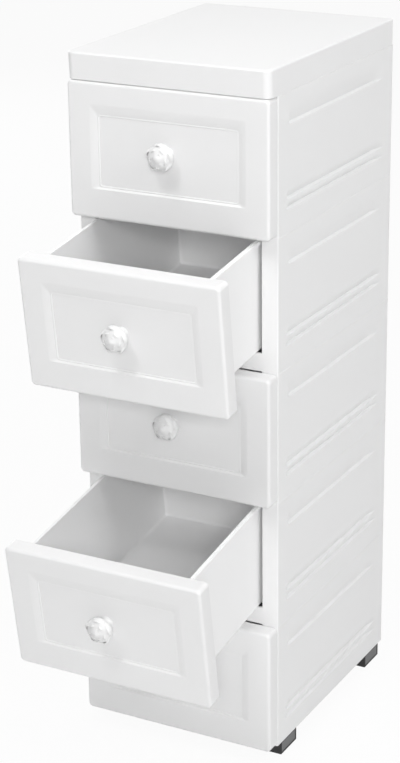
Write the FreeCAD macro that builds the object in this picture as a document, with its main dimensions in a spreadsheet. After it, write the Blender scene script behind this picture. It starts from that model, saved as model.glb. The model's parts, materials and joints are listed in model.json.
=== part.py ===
import FreeCAD, Part
import Sketcher
import os
import re

# A free-standing tower of five plastic drawers. X runs to the right, Y to the back and Z up.
# The pieces are drawn with the plane of the closed drawer fronts at Y = 0 and the underside of
# their own tier at Z = 0, and their placements then set them in the tower. The origin is on the
# floor, in the middle of the whole outline with the drawers as open as they stand at rest.

SIZES = {
    # The tower as a whole.
    "tower_width": 300,
    "tower_depth": 390,
    "tier_height": 187.8,
    "lid_height": 37,
    "foot_height": 21,
    # Clearances.
    "seat_gap": 0.3,
    "running_gap": 0.05,
    "cut_overrun": 1,
    # Side panels: the outer skin, the front stile and the rear post.
    "side_wall": 3,
    "stile_width": 24,
    "stile_return": 14,
    "rear_post_width": 18,
    "ledge_width": 8,
    "tongue_depth": 8,
    "tongue_root": 10,
    # Pressed grooves of the side panels. A drop is measured down from the top of the tier, and a
    # rise up from its underside.
    "groove_depth": 3,
    "groove_flank": 4,
    "groove_lip": 1,
    "wide_groove_drop": 15,
    "wide_groove_height": 28,
    "wide_groove_margin": 30,
    "middle_groove_rise": 45.8,
    "middle_groove_height": 15,
    "middle_groove_margin": 25,
    "low_groove_rise": 31.8,
    "low_groove_height": 10.5,
    "low_groove_margin": 24,
    # Shelf boards: a flat plate with a sill in front and ribs below.
    "board_height": 26,
    "board_plate": 2.5,
    "sill_drop": 25.2,
    "board_rib_inset": 16,
    "board_rib_height": 18,
    "strip_width": 8,
    # Back panels.
    "back_thickness": 2.5,
    "back_border": 14,
    "back_field_depth": 1,
    # Lid.
    "lid_wall": 3,
    "lid_edge_radius": 4,
    "lid_corner_radius": 6,
    "lid_lip_depth": 8,
    # Drawer fronts.
    "front_thickness": 24,
    "front_reveal": 1,
    "front_gap": 2.5,
    "front_side_inset": 0.5,
    "front_wall": 3,
    "front_edge_radius": 3,
    "front_corner_radius": 5,
    "field_depth": 4,
    "field_side_margin": 34,
    "field_side_bevel": 7,
    "field_top_drop": 29,
    "field_top_bevel": 15,
    "field_bottom_rise": 41,
    "field_bottom_bevel": 4,
    "boss_radius": 6,
    # Drawer boxes.
    "box_rear_gap": 14.5,
    "box_wall": 2.2,
    "box_corner_radius": 6,
    "rim_gap": 2,
    "rim_drop": 3.5,
    "rim_overhang": 3.5,
    "rim_step": 1.2,
    "rim_thickness": 1.8,
    "rim_lip_height": 6.5,
    # Rollers at the two ends of each sill.
    "roller_radius": 5.5,
    "roller_length": 8.6,
    "roller_rise": 2.2,
    "roller_setback": 9,
    "roller_end_gap": 0.3,
    "roller_cheek": 2.5,
    "roller_edge_radius": 0.8,
    "pin_radius": 1.5,
    # Knobs and their screws.
    "knob_centre_height": 101,
    "knob_radius": 20,
    "knob_reach": 29,
    "screw_radius": 2,
    "screw_grip": 12,
    "screw_head_radius": 4,
    "screw_head_height": 2.6,
    # Feet.
    "foot_width": 40,
    "foot_length": 50,
    "foot_side_inset": 1,
    "foot_front_setback": 38,
    "foot_rear_setback": 10,
    "foot_edge_radius": 1.5,
    "foot_field_depth": 0.8,
    "foot_field_border": 2.5,
    "peg_width": 11,
    "peg_length": 30,
    "peg_height": 10,
    # How far the drawers that stand open are pulled out, and how far they droop, in degrees.
    "second_drawer_pull": 119,
    "second_drawer_droop_angle": 7,
    "fourth_drawer_pull": 177.5,
    "fourth_drawer_droop_angle": 8.5,
}

# Shares of the knob's radius: how far a petal's centre lies from the axis and from the knob's
# tip, and its own radius.
PETALS_IN_A_RING = 5
OUTER_PETAL_SHARES = (0.5, 0.64, 0.5)
INNER_PETAL_SHARES = (0.27, 0.42, 0.4)
BUD_RADIUS_SHARE = 0.26
STEM_FOOT_SHARE = 0.46
STEM_NECK_SHARE = 0.32
STEM_TOP_SHARE = 0.62
NECK_REACH_SHARE = 0.22
STEM_REACH_SHARE = 0.5

TIERS = (1, 2, 3, 4, 5)
OPEN_DRAWERS = {2: "second_drawer", 4: "fourth_drawer"}

# Places that several pieces share, as formulas of the sizes.
HALF = "tower_width / 2"
FRAME_FACE = "(front_thickness + front_reveal)"
OPENING = "(tower_width / 2 - stile_width)"
SKIN = "(tower_width / 2 - side_wall)"
BACK_FACE = "(tower_depth - side_wall - back_thickness)"
ROLLER_HEIGHT = "(board_height + roller_rise - roller_radius)"
ROLLER_PLACE = "(front_thickness + front_reveal + roller_setback)"
ROLLER_OUTER_END = "(tower_width / 2 - stile_width - roller_cheek - roller_end_gap)"
ROLLER_INNER_END = "(tower_width / 2 - stile_width - roller_cheek - roller_end_gap - roller_length)"
ROLLER_SPACE = "(roller_radius + roller_end_gap)"
BOX_FLOOR = "(board_height + roller_rise + seat_gap)"
BOX_REAR = "(tower_depth - side_wall - back_thickness - box_rear_gap)"
BOX_HALF = "(tower_width / 2 - stile_width - rim_gap - rim_overhang)"
FRONT_HALF = "(tower_width / 2 - front_side_inset)"
FRONT_BOTTOM = "(front_gap / 2)"
FRONT_TOP = "(tier_height - front_gap / 2)"
RIM_TOP = "(tier_height - front_gap / 2 - rim_drop)"
RIM_HALF = "(tower_width / 2 - stile_width - rim_gap)"
GROOVE_UNDERSIDES = {
    "wide": "(tier_height - wide_groove_drop - wide_groove_height)",
    "middle": "middle_groove_rise",
    "low": "low_groove_rise",
}

doc = FreeCAD.newDocument("drawer_tower")
sheet = doc.addObject("Spreadsheet::Sheet", "sizes")
for row, (alias, number) in enumerate(SIZES.items(), start=1):
    sheet.set(f"A{row}", alias)
    sheet.set(f"B{row}", str(number))
    sheet.setAlias(f"B{row}", alias)
doc.recompute()

nodes = {}


def formula(text):
    """The same formula with the sheet's name in front of each size."""
    return re.sub(r"[a-z]+(?:_[a-z]+)+", r"sizes.\g<0>", text)


def length(text):
    """The value of a formula of the sizes, for shapes and places that are worked out in code."""
    return float(sheet.evalExpression(formula(text)))


def block(name, x, y, z):
    """A box from a low to a high formula along each axis."""
    solid = doc.addObject("Part::Box", name)
    for axis, side, (low, high) in (("x", "Length", x), ("y", "Width", y), ("z", "Height", z)):
        solid.setExpression(f"Placement.Base.{axis}", formula(low))
        solid.setExpression(side, formula(f"({high}) - ({low})"))
    return solid


def rod(name, axis, radius, ends, across):
    """A cylinder along X or Y, between two formulas, at two formulas across its axis."""
    solid = doc.addObject("Part::Cylinder", name)
    solid.setExpression("Radius", formula(radius))
    low, high = ends
    solid.setExpression("Height", formula(f"({high}) - ({low})"))
    direction = FreeCAD.Vector(1, 0, 0) if axis == "x" else FreeCAD.Vector(0, 1, 0)
    solid.Placement.Rotation = FreeCAD.Rotation(FreeCAD.Vector(0, 0, 1), direction)
    first = "y" if axis == "x" else "x"
    for letter, level in ((axis, low), (first, across[0]), ("z", across[1])):
        solid.setExpression(f"Placement.Base.{letter}", formula(level))
    return solid


def wedge(name, depth, wide, narrow):
    """A block along Y that narrows from its wide end (X span, Z span) to its narrow end."""
    solid = doc.addObject("Part::Wedge", name)
    spans = (
        ("Ymin", "Ymax", depth),
        ("Xmin", "Xmax", wide[0]),
        ("Zmin", "Zmax", wide[1]),
        ("X2min", "X2max", narrow[0]),
        ("Z2min", "Z2max", narrow[1]),
    )
    for low_side, high_side, (low, high) in spans:
        solid.setExpression(low_side, formula(low))
        solid.setExpression(high_side, formula(high))
    return solid


def join(name, *pieces):
    """One solid from several that touch or overlap."""
    joined = doc.addObject("Part::MultiFuse", name)
    joined.Shapes = list(pieces)
    joined.Refine = True
    return joined


def cut(name, base, *tools):
    """A solid without the space that the tools take."""
    result = doc.addObject("Part::Cut", name)
    result.Base = base
    result.Tool = tools[0] if len(tools) == 1 else join(f"{name}_tools", *tools)
    result.Refine = True
    return result


def rounded(name, base, radius, chosen):
    """A solid whose chosen edges are rounded."""
    doc.recompute()
    result = doc.addObject("Part::Fillet", name)
    result.Base = base
    size = length(radius)
    edges = enumerate(base.Shape.Edges, start=1)
    result.Edges = [(number, size, size) for number, edge in edges if chosen(edge)]
    return result


def runs_along(edge, axis):
    """Whether a straight edge runs along the axis."""
    step = edge.Vertexes[-1].Point - edge.Vertexes[0].Point
    return abs(abs(getattr(step, axis)) - step.Length) < step.Length / 1000


def lies_at(edge, axis, level):
    """Whether the whole edge lies at one level along the axis."""
    reach = length("cut_overrun") / 100
    return all(abs(getattr(corner.Point, axis) - level) < reach for corner in edge.Vertexes)


def origin_plane(body, role):
    """One of the three planes through a body's own origin."""
    return next(plane for plane in body.Origin.OriginFeatures if plane.Role == role)


def sketch_on(body, name, role, centre, level):
    """An empty sketch on an origin plane, centred by formulas and lifted off it by a level."""
    sketch = body.newObject("Sketcher::SketchObject", name)
    sketch.AttachmentSupport = [(origin_plane(body, role), "")]
    sketch.MapMode = "FlatFace"
    for letter, shift in (("x", centre[0]), ("y", centre[1]), ("z", level)):
        sketch.setExpression(f"AttachmentOffset.Base.{letter}", formula(shift))
    return sketch


def rectangle(body, name, role, width, height, centre=("0", "0"), level="0"):
    """A rectangle whose two sides are bound to formulas."""
    sketch = sketch_on(body, name, role, centre, level)
    half_x = length(width) / 2
    half_y = length(height) / 2
    corners = ((-half_x, -half_y), (half_x, -half_y), (half_x, half_y), (-half_x, half_y))
    points = [FreeCAD.Vector(x, y, 0) for x, y in corners]
    for start, end in zip(points, points[1:] + points[:1]):
        sketch.addGeometry(Part.LineSegment(start, end))
    for side in range(4):
        sketch.addConstraint(Sketcher.Constraint("Coincident", side, 2, (side + 1) % 4, 1))
        sketch.addConstraint(Sketcher.Constraint("Vertical" if side % 2 else "Horizontal", side))
    sketch.addConstraint(Sketcher.Constraint("Symmetric", 0, 1, 2, 1, -1, 1))
    for side, text in ((0, width), (1, height)):
        number = sketch.addConstraint(Sketcher.Constraint("Distance", side, length(text)))
        sketch.setExpression(f"Constraints[{number}]", formula(text))
    return sketch


def circle(body, name, role, radius, centre=("0", "0"), level="0"):
    """A circle whose radius is bound to a formula."""
    sketch = sketch_on(body, name, role, centre, level)
    up = FreeCAD.Vector(0, 0, 1)
    sketch.addGeometry(Part.Circle(FreeCAD.Vector(0, 0, 0), up, length(radius)))
    sketch.addConstraint(Sketcher.Constraint("Coincident", 0, 3, -1, 1))
    number = sketch.addConstraint(Sketcher.Constraint("Radius", 0, length(radius)))
    sketch.setExpression(f"Constraints[{number}]", formula(radius))
    return sketch


def pad(body, sketch, height, backwards=False):
    """Material from a sketch along its normal, or against it."""
    feature = body.newObject("PartDesign::Pad", f"{sketch.Name}_pad")
    feature.Profile = sketch
    feature.setExpression("Length", formula(height))
    feature.Reversed = backwards
    sketch.Visibility = False
    return feature


def pocket(body, sketch, depth, backwards=False):
    """A cut from a sketch, which has to take most of the space under the sketch away."""
    doc.recompute()
    before = body.Shape.Volume
    space = Part.Face(Part.Wire(sketch.Shape.Edges)).Area * length(depth)
    feature = body.newObject("PartDesign::Pocket", f"{sketch.Name}_pocket")
    feature.Profile = sketch
    feature.setExpression("Length", formula(depth))
    feature.Reversed = backwards
    doc.recompute()
    if before - body.Shape.Volume < space / 2:
        raise RuntimeError(f"{feature.Name} cuts too little")
    return feature


def soften(body, name, radius, chosen):
    """Rounded edges on a body's last feature."""
    doc.recompute()
    base = body.Tip
    numbers = [number for number, edge in enumerate(base.Shape.Edges, start=1) if chosen(edge)]
    feature = body.newObject("PartDesign::Fillet", name)
    feature.Base = (base, [f"Edge{number}" for number in numbers])
    feature.setExpression("Radius", formula(radius))
    return feature


def tier_floor(tier):
    """How high the underside of a tier stands above the floor. The first tier is the top one."""
    return f"(foot_height + tier_height * {len(TIERS) - tier})"


def turned_with_drawer(tier):
    """Where a drawer's pieces go from their closed place: out along the floor of the box, then
    down about the axis of the rollers that it runs on."""
    axis = FreeCAD.Vector(0, length(ROLLER_PLACE), length(ROLLER_HEIGHT))
    if tier in OPEN_DRAWERS:
        pull = length(f"{OPEN_DRAWERS[tier]}_pull")
        droop = length(f"{OPEN_DRAWERS[tier]}_droop_angle")
    else:
        pull = droop = 0
    turn = FreeCAD.Rotation(FreeCAD.Vector(1, 0, 0), droop)
    base = axis + turn.multVec(FreeCAD.Vector(0, -pull, 0) - axis)
    return FreeCAD.Placement(base, turn)


def middle_of_outline():
    """Halfway between the tip of the knob that reaches furthest and the back of the tower."""
    tip = FreeCAD.Vector(0, -length("knob_reach"), length("knob_centre_height"))
    reach = min(turned_with_drawer(tier).multVec(tip).y for tier in TIERS)
    return (reach + length("tower_depth")) / 2


def set_in_tower(piece, name, tier, moves=FreeCAD.Placement()):
    """Gives a finished piece its name and sets it in its tier of the tower."""
    lift = length(tier_floor(tier))
    in_tower = FreeCAD.Placement(FreeCAD.Vector(0, -middle_of_outline(), lift), FreeCAD.Rotation())
    piece.Placement = in_tower.multiply(moves)
    piece.Label = name
    nodes[name] = piece


def mirrored(name, source):
    """The same piece on the other side of the tower."""
    twin = doc.addObject("Part::Mirroring", name)
    twin.Source = source
    twin.Normal = FreeCAD.Vector(1, 0, 0)
    return twin


def side_groove(name, kind):
    """One sunken groove of a right side panel, with a sloped lower flank and sloped ends."""
    low = GROOVE_UNDERSIDES[kind]
    high = f"{low} + {kind}_groove_height"
    start = f"{FRAME_FACE} + {kind}_groove_margin"
    end = f"tower_depth - {kind}_groove_margin - side_wall"
    groove = wedge(
        name,
        ("0", "groove_depth"),
        ((start, end), (low, high)),
        ((f"{start} + groove_flank", f"{end} - groove_flank"),
         (f"{low} + groove_flank", f"{high} - groove_lip")),
    )
    groove.Placement.Rotation = FreeCAD.Rotation(FreeCAD.Vector(1, 0, 0), FreeCAD.Vector(0, 1, 0))
    groove.setExpression("Placement.Base.x", formula(HALF))
    return groove


def groove_backing(name, kind):
    """The skin is pressed in behind a groove, so that it keeps its thickness."""
    low = f"{GROOVE_UNDERSIDES[kind]} - side_wall"
    high = f"{GROOVE_UNDERSIDES[kind]} + {kind}_groove_height + side_wall"
    start = f"{FRAME_FACE} + {kind}_groove_margin - side_wall"
    end = f"tower_depth - {kind}_groove_margin"
    return block(name, (f"{SKIN} - groove_depth", SKIN), (start, end), (low, high))


def side_panels(tier):
    """The two outer side shells of a tier: skin, front stile, rear post, ledge and tongue."""
    full = ("0", "tier_height")
    behind_stile = f"{FRAME_FACE} + side_wall"
    post_front = "tower_depth - side_wall"
    ledge_top = "board_height - board_plate"
    name = f"side_{tier}"
    pieces = [
        block(f"{name}_skin", (SKIN, HALF), (FRAME_FACE, "tower_depth"), full),
        block(f"{name}_stile", (OPENING, SKIN), (FRAME_FACE, behind_stile), full),
        block(f"{name}_return", (OPENING, f"{OPENING} + side_wall"),
              (behind_stile, f"{FRAME_FACE} + stile_return"), full),
        block(f"{name}_post", (f"{HALF} - rear_post_width", SKIN), (post_front, "tower_depth"), full),
        block(f"{name}_ledge", (f"{SKIN} - ledge_width", SKIN),
              (f"{FRAME_FACE} + stile_return", BACK_FACE), (f"{ledge_top} - side_wall", ledge_top)),
    ]
    if tier < len(TIERS):
        pieces.append(
            block(f"{name}_tongue", (f"{SKIN} - side_wall", SKIN),
                  (f"{FRAME_FACE} + stile_return + side_wall", f"{BACK_FACE} - side_wall"),
                  ("-tongue_depth", "tongue_root"))
        )
    pieces += [groove_backing(f"{name}_{kind}_backing", kind) for kind in GROOVE_UNDERSIDES]
    shell = join(f"{name}_shell", *pieces)
    grooves = [side_groove(f"{name}_{kind}_groove", kind) for kind in GROOVE_UNDERSIDES]
    right = cut(f"{name}_right", shell, *grooves)
    set_in_tower(right, f"right_side_panel_{tier}", tier)
    left = mirrored(f"{name}_left", right)
    left.Label = f"left_side_panel_{tier}"
    nodes[left.Label] = left


def both_sides(make):
    """A piece at the right end of the sill and its copy at the left end."""
    right = make()
    return right, mirrored(f"{right.Name}_twin", right)


def shelf_board(tier):
    """The board that closes a tier below: its front flange is the sill, and a drawer runs on it."""
    name = f"board_{tier}"
    plate = ("board_height - board_plate", "board_height")
    front_part_end = f"{FRAME_FACE} + stile_return"
    rib_low = "board_height - board_rib_height"
    cheek_low = f"{ROLLER_HEIGHT} - roller_radius"
    cheek_start = f"{FRAME_FACE} + board_plate"
    cheek_end = f"{ROLLER_PLACE} + {ROLLER_SPACE} + board_plate"
    pieces = [
        block(f"{name}_plate", (f"-{SKIN}", SKIN), (front_part_end, BACK_FACE), plate),
        block(f"{name}_front", (f"-{OPENING}", OPENING), (FRAME_FACE, front_part_end), plate),
        block(f"{name}_sill", (f"-{OPENING}", OPENING), (FRAME_FACE, cheek_start),
              ("board_height - sill_drop", "board_height")),
        block(f"{name}_rear", (f"board_rib_inset - {SKIN}", f"{SKIN} - board_rib_inset"),
              (f"{BACK_FACE} - board_plate", BACK_FACE), (rib_low, "board_height")),
    ]
    pieces += both_sides(lambda: block(
        f"{name}_rib", (f"{SKIN} - board_rib_inset - board_plate", f"{SKIN} - board_rib_inset"),
        (front_part_end, BACK_FACE), (rib_low, "board_height")))
    pieces += both_sides(lambda: block(
        f"{name}_strip", (f"{BOX_HALF} - strip_width", BOX_HALF),
        (f"{cheek_end} + board_plate", f"{BACK_FACE} - board_plate"),
        ("board_height - board_plate", "board_height + roller_rise")))
    pieces += both_sides(lambda: block(
        f"{name}_cheeks", (f"{ROLLER_INNER_END} - roller_end_gap - roller_cheek", OPENING),
        (cheek_start, cheek_end), (cheek_low, "board_height")))
    wells = both_sides(lambda: block(
        f"{name}_well", (f"{ROLLER_INNER_END} - roller_end_gap", f"{ROLLER_OUTER_END} + roller_end_gap"),
        (f"{ROLLER_PLACE} - {ROLLER_SPACE}", f"{ROLLER_PLACE} + {ROLLER_SPACE}"),
        (f"{cheek_low} - cut_overrun", "board_height + cut_overrun")))
    holes = both_sides(lambda: rod(
        f"{name}_hole", "x", "pin_radius + running_gap",
        (f"{ROLLER_INNER_END} - roller_end_gap - roller_cheek - cut_overrun", OPENING),
        (ROLLER_PLACE, ROLLER_HEIGHT)))
    board = cut(name, join(f"{name}_whole", *pieces), *wells, *holes)
    set_in_tower(board, f"shelf_board_{tier}", tier)


def roller_pins(tier):
    """The two short steel pins at the ends of a sill, which the rollers turn on."""
    pins = both_sides(lambda: rod(
        f"pin_{tier}", "x", "pin_radius",
        (f"{ROLLER_INNER_END} - roller_end_gap - roller_cheek", f"{OPENING} - running_gap"),
        (ROLLER_PLACE, ROLLER_HEIGHT)))
    pair = doc.addObject("Part::Compound", f"pins_{tier}")
    pair.Links = list(pins)
    set_in_tower(pair, f"roller_pins_{tier}", tier)


def sill_rollers(tier):
    """The pair of small rollers that carries a drawer's floor at the sill."""
    centre = (ROLLER_PLACE, ROLLER_HEIGHT)
    name = f"roller_{tier}"
    body = doc.addObject("PartDesign::Body", f"{name}_body")
    rim = circle(body, f"{name}_rim", "YZ_Plane", "roller_radius", centre, ROLLER_INNER_END)
    pad(body, rim, "roller_length")
    bore = circle(body, f"{name}_bore", "YZ_Plane", "pin_radius + running_gap", centre, ROLLER_INNER_END)
    pocket(body, bore, "roller_length", backwards=True)
    tread = length("roller_radius")
    soften(body, f"{name}_edges", "roller_edge_radius",
           lambda edge: edge.Curve.TypeId == "Part::GeomCircle" and edge.Curve.Radius == tread)
    pair = doc.addObject("Part::Compound", f"rollers_{tier}")
    pair.Links = [body, mirrored(f"{name}_twin", body)]
    set_in_tower(pair, f"sill_rollers_{tier}", tier)


def back_panel(tier):
    """The thin sheet that closes a tier behind, held between the board and the rear posts."""
    name = f"back_{tier}"
    width = f"2 * ({SKIN} - seat_gap)"
    body = doc.addObject("PartDesign::Body", f"{name}_body")
    middle = ("0", "tier_height / 2")
    sheet_outline = rectangle(body, f"{name}_sheet", "XZ_Plane", width, "tier_height", middle,
                              f"-{BACK_FACE}")
    pad(body, sheet_outline, "back_thickness", backwards=True)
    field = rectangle(body, f"{name}_field", "XZ_Plane",
                      f"{width} - 2 * (rear_post_width + back_border)",
                      "tier_height - 2 * back_border", middle, "side_wall - tower_depth")
    pocket(body, field, "back_field_depth", backwards=True)
    set_in_tower(body, f"back_panel_{tier}", tier)


def top_cover():
    """The lid: a flat top with a deep skirt, which drops over the highest tier."""
    body = doc.addObject("PartDesign::Body", "cover_body")
    middle = ("0", "tower_depth / 2")
    outline = rectangle(body, "cover_outline", "XY_Plane", "tower_width", "tower_depth", middle)
    pad(body, outline, "lid_height")
    soften(body, "cover_corners", "lid_corner_radius", lambda edge: runs_along(edge, "z"))
    top = length("lid_height")
    soften(body, "cover_edges", "lid_edge_radius", lambda edge: lies_at(edge, "z", top))
    hollow = rectangle(body, "cover_hollow", "XY_Plane", "tower_width - 2 * lid_wall",
                       "tower_depth - 2 * lid_wall", middle)
    pocket(body, hollow, "lid_height - lid_wall", backwards=True)
    header_place = f"{FRAME_FACE} + lid_wall / 2"
    header = rectangle(body, "cover_header", "XY_Plane", "tower_width - 2 * lid_wall", "lid_wall",
                       ("0", header_place), "seat_gap")
    pad(body, header, "lid_height - lid_wall / 2 - seat_gap")
    for name, side in (("left", "-"), ("right", "")):
        rail = rectangle(body, f"cover_{name}_rail", "XY_Plane", "lid_wall",
                         f"tower_depth - 2 * ({FRAME_FACE} + stile_return + side_wall)",
                         (f"{side}({SKIN} - lid_wall / 2)", "tower_depth / 2"), "-lid_lip_depth")
        pad(body, rail, "lid_height - lid_wall / 2 + lid_lip_depth")
    set_in_tower(body, "top_cover", 1, FreeCAD.Placement(
        FreeCAD.Vector(0, 0, length("tier_height")), FreeCAD.Rotation()))


def drawer_front(tier):
    """The hollow moulding on the front of a drawer, with its wide sunken field."""
    name = f"front_{tier}"
    inner_half = f"({FRONT_HALF} - front_wall)"
    blank = block(f"{name}_blank", (f"-{FRONT_HALF}", FRONT_HALF), ("0", "front_thickness"),
                  (FRONT_BOTTOM, FRONT_TOP))
    corners = rounded(f"{name}_corners", blank, "front_corner_radius",
                      lambda edge: runs_along(edge, "y"))
    outside = rounded(f"{name}_edges", corners, "front_edge_radius",
                      lambda edge: lies_at(edge, "y", 0))
    hollow = block(f"{name}_hollow", (f"-{inner_half}", inner_half),
                   ("front_wall", "front_thickness + cut_overrun"),
                   (f"{FRONT_BOTTOM} + front_wall", f"{FRONT_TOP} - front_wall"))
    field_half = f"({HALF} - field_side_margin)"
    low = "field_bottom_rise"
    high = "tier_height - field_top_drop"
    floor_half = f"({HALF} - field_side_margin - field_side_bevel)"
    floor_low = "field_bottom_rise + field_bottom_bevel"
    floor_high = "tier_height - field_top_drop - field_top_bevel"
    field = wedge(f"{name}_field", ("0", "field_depth"),
                  ((f"-{field_half}", field_half), (low, high)),
                  ((f"-{floor_half}", floor_half), (floor_low, floor_high)))
    backing = wedge(f"{name}_backing", ("front_wall", "front_wall + field_depth"),
                    ((f"-{field_half} - front_wall", f"{field_half} + front_wall"),
                     (f"{low} - front_wall", f"{high} + front_wall")),
                    ((f"-{floor_half} - front_wall", f"{floor_half} + front_wall"),
                     (f"{floor_low} - front_wall", f"{floor_high} + front_wall")))
    boss = rod(f"{name}_boss", "y", "boss_radius", ("field_depth", "front_thickness - box_wall"),
               ("0", "knob_centre_height"))
    hole = rod(f"{name}_hole", "y", "screw_radius + seat_gap", ("0", "front_thickness"),
               ("0", "knob_centre_height"))
    shell = join(f"{name}_shell", cut(f"{name}_open", outside, hollow), backing, boss)
    front = cut(name, shell, field, hole)
    set_in_tower(front, f"drawer_front_{tier}", tier, turned_with_drawer(tier))


def drawer_box(tier):
    """The drawer's tub with its stepped rim, and the wide plate that carries the front."""
    name = f"box_{tier}"
    corner = "box_corner_radius"
    lip_low = f"{RIM_TOP} - rim_lip_height"
    flange_top = f"{RIM_TOP} - rim_step"
    inner_half = f"({BOX_HALF} - box_wall)"
    hollow_half = f"({RIM_HALF} - rim_thickness)"

    def rear_corner(edge):
        return runs_along(edge, "z") and not lies_at(edge, "y", length("front_thickness"))

    def tub(part, half, rear, low, high, radius):
        solid = block(f"{name}_{part}_block", (f"-{half}", half), ("front_thickness", rear), (low, high))
        return rounded(f"{name}_{part}", solid, radius, rear_corner)

    wall = tub("wall", BOX_HALF, BOX_REAR, BOX_FLOOR, RIM_TOP, corner)
    rim = tub("rim", RIM_HALF, f"{BOX_REAR} + rim_overhang", lip_low, flange_top,
              f"{corner} + rim_overhang")
    under_rim = tub("under_rim", hollow_half, f"{BOX_REAR} + rim_overhang - rim_thickness",
                    f"{lip_low} - cut_overrun", f"{flange_top} - rim_thickness",
                    f"{corner} + rim_overhang - rim_thickness")
    inside = tub("inside", inner_half, f"{BOX_REAR} - box_wall", f"{BOX_FLOOR} + box_wall",
                 f"{RIM_TOP} + cut_overrun", f"{corner} - box_wall")
    plate = block(f"{name}_plate", (f"front_wall - {FRONT_HALF}", f"{FRONT_HALF} - front_wall"),
                  ("front_thickness - box_wall", "front_thickness"),
                  (f"{FRONT_BOTTOM} + front_wall", f"{FRONT_TOP} - front_wall"))
    hole = rod(f"{name}_hole", "y", "screw_radius + seat_gap",
               ("front_thickness - box_wall - cut_overrun", "front_thickness + cut_overrun"),
               ("0", "knob_centre_height"))
    hanging_rim = cut(f"{name}_hanging_rim", rim, under_rim)
    shell = join(f"{name}_shell", hanging_rim, wall, plate)
    box = cut(name, shell, inside, hole)
    set_in_tower(box, f"drawer_box_{tier}", tier, turned_with_drawer(tier))


def petal_ring(shares, tip, turn):
    """A ring of rounded petals about the knob's axis, which runs along Y."""
    offset, depth, size = (share * length("knob_radius") for share in shares)
    ring = []
    for number in range(PETALS_IN_A_RING):
        petal = Part.makeSphere(size, FreeCAD.Vector(offset, tip + depth, 0))
        angle = turn + number * 360 / PETALS_IN_A_RING
        petal.rotate(FreeCAD.Vector(0, 0, 0), FreeCAD.Vector(0, 1, 0), angle)
        ring.append(petal)
    return ring


def knob_shape():
    """A knob shaped as an open flower: two rings of petals about a bud, on a waisted stem."""
    radius = length("knob_radius")
    tip = -length("knob_reach")
    seat = length("field_depth")
    reach = seat - tip
    profile = (
        (0, seat),
        (STEM_FOOT_SHARE * radius, seat),
        (STEM_NECK_SHARE * radius, seat - NECK_REACH_SHARE * reach),
        (STEM_TOP_SHARE * radius, seat - STEM_REACH_SHARE * reach),
        (0, tip + BUD_RADIUS_SHARE * radius),
    )
    points = [FreeCAD.Vector(x, y, 0) for x, y in profile]
    outline = Part.Face(Part.makePolygon(points + points[:1]))
    stem = outline.revolve(FreeCAD.Vector(0, 0, 0), FreeCAD.Vector(0, 1, 0), 360)
    bud = Part.makeSphere(BUD_RADIUS_SHARE * radius, FreeCAD.Vector(0, tip + BUD_RADIUS_SHARE * radius, 0))
    outer = petal_ring(OUTER_PETAL_SHARES, tip, 90)
    inner = petal_ring(INNER_PETAL_SHARES, tip, 90 + 180 / PETALS_IN_A_RING)
    flower = stem.fuse(outer + inner + [bud])
    hole_depth = length("screw_grip")
    hole = Part.makeCylinder(length("screw_radius + running_gap"), hole_depth,
                             FreeCAD.Vector(0, seat, 0), FreeCAD.Vector(0, -1, 0))
    return flower.cut(hole).removeSplitter()


def knob_and_screw(tier, shape):
    """The knob on a drawer's front, and the screw that holds it from inside the box."""
    knob = doc.addObject("Part::Feature", f"knob_{tier}")
    knob.Shape = shape.copy()
    on_front = FreeCAD.Placement(
        FreeCAD.Vector(0, 0, length("knob_centre_height")), FreeCAD.Rotation())
    set_in_tower(knob, f"knob_{tier}", tier, turned_with_drawer(tier).multiply(on_front))
    centre = ("0", "knob_centre_height")
    shank = rod(f"shank_{tier}", "y", "screw_radius",
                ("field_depth - screw_grip + seat_gap", "front_thickness"), centre)
    head = rod(f"head_{tier}", "y", "screw_head_radius",
               ("front_thickness", "front_thickness + screw_head_height"), centre)
    screw = join(f"screw_{tier}", shank, head)
    set_in_tower(screw, f"knob_screw_{tier}", tier, turned_with_drawer(tier))


def foot(name, side, setback):
    """A black foot block under a corner, with a peg that plugs into the lowest tier."""
    body = doc.addObject("PartDesign::Body", f"{name}_body")
    outline = rectangle(body, f"{name}_outline", "XY_Plane", "foot_width", "foot_length")
    pad(body, outline, "foot_height")
    soften(body, f"{name}_edges", "foot_edge_radius",
           lambda edge: runs_along(edge, "z") or lies_at(edge, "z", 0))
    field = rectangle(body, f"{name}_field", "YZ_Plane", "foot_length - 2 * foot_field_border",
                      "foot_height - 2 * foot_field_border", ("0", "foot_height / 2"), "foot_width / 2")
    pocket(body, field, "foot_field_depth")
    peg_place = "foot_width / 2 + foot_side_inset - side_wall - seat_gap - peg_width / 2"
    peg = rectangle(body, f"{name}_peg", "XY_Plane", "peg_width", "peg_length", (peg_place, "0"),
                    "foot_height")
    pad(body, peg, "peg_height")
    angle = 0 if side > 0 else 180
    turn = FreeCAD.Rotation(FreeCAD.Vector(0, 0, 1), angle)
    across = side * length(f"{HALF} - foot_side_inset - foot_width / 2")
    move = FreeCAD.Vector(across, length(setback), -length("foot_height"))
    set_in_tower(body, name, len(TIERS), FreeCAD.Placement(move, turn))


def all_sound():
    """Stops the build if any object failed or any piece isn't a valid solid."""
    for item in doc.Objects:
        if "Invalid" in item.State or "Error" in item.State:
            raise RuntimeError(f"{item.Name} failed: {item.State}")
    for name, piece in nodes.items():
        shape = piece.Shape
        if shape.isNull() or not shape.isValid() or not shape.Solids:
            raise RuntimeError(f"{name} isn't a valid solid")


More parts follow.
